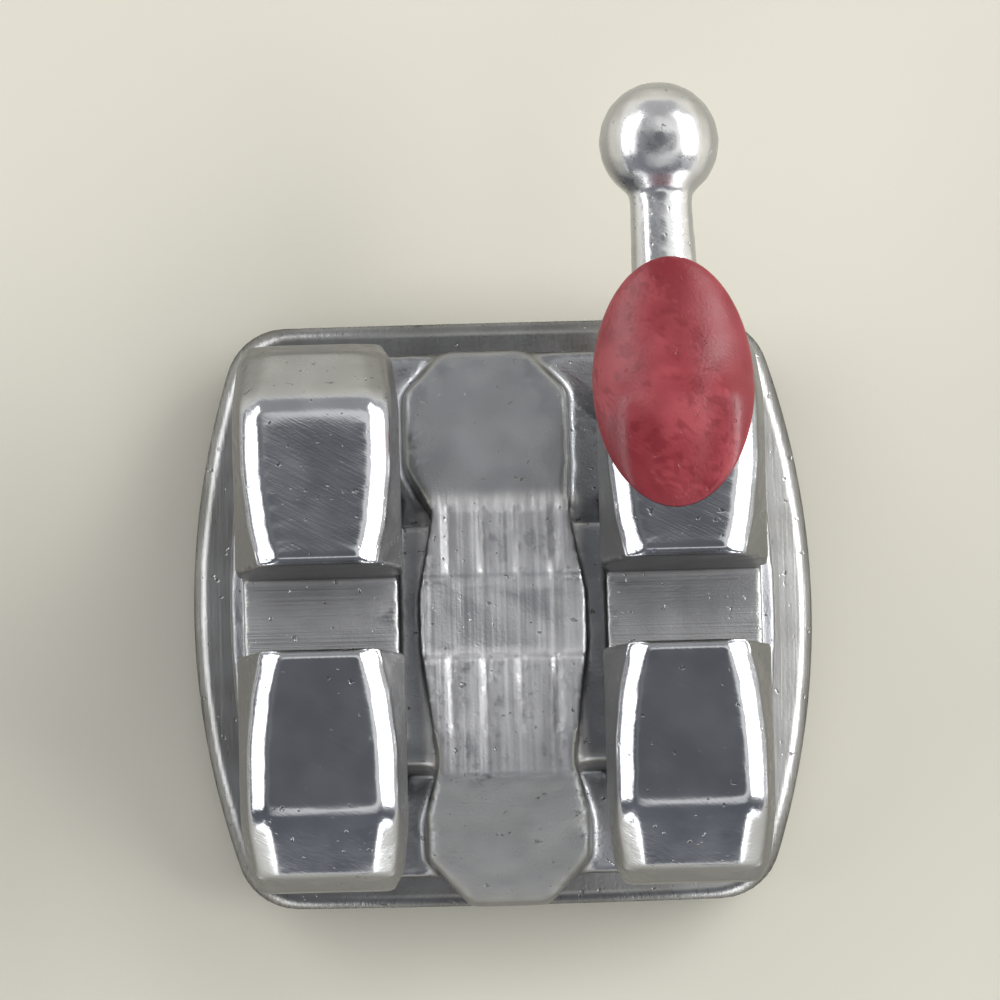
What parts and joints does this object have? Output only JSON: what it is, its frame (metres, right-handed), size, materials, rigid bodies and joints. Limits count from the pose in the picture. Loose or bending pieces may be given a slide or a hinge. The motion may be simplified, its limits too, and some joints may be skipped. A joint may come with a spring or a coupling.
{
  "type": "orthodontic bracket",
  "caption": "Fixed orthodontic bracket with tie wings beside a rectangular archwire slot, a ball hook, a red colour mark, and a curved foil pad backed by woven wire cloth for bonding",
  "frame": {"origin": "centre of the footprint, on the surface that the lowest wires of the pad's cloth stand on", "axes": "+X distal, +Y gingival (towards the hook's ball), +Z facial (out of the slot, square to the pad)"},
  "size_m": [0.0034, 0.0046, 0.002],
  "materials": {
    "cast_steel": "tumbled and polished injection-moulded stainless steel",
    "foil_steel": "satin formed stainless foil",
    "wire_steel": "dull drawn stainless wire",
    "mark_paint": "deep red water-soluble paint, satin"
  },
  "bodies": {
    "root": {"bracket_body": "cast_steel", "base_foil": "foil_steel", "retention_mesh": "wire_steel", "colour_mark": "mark_paint"}
  },
  "joints": []
}
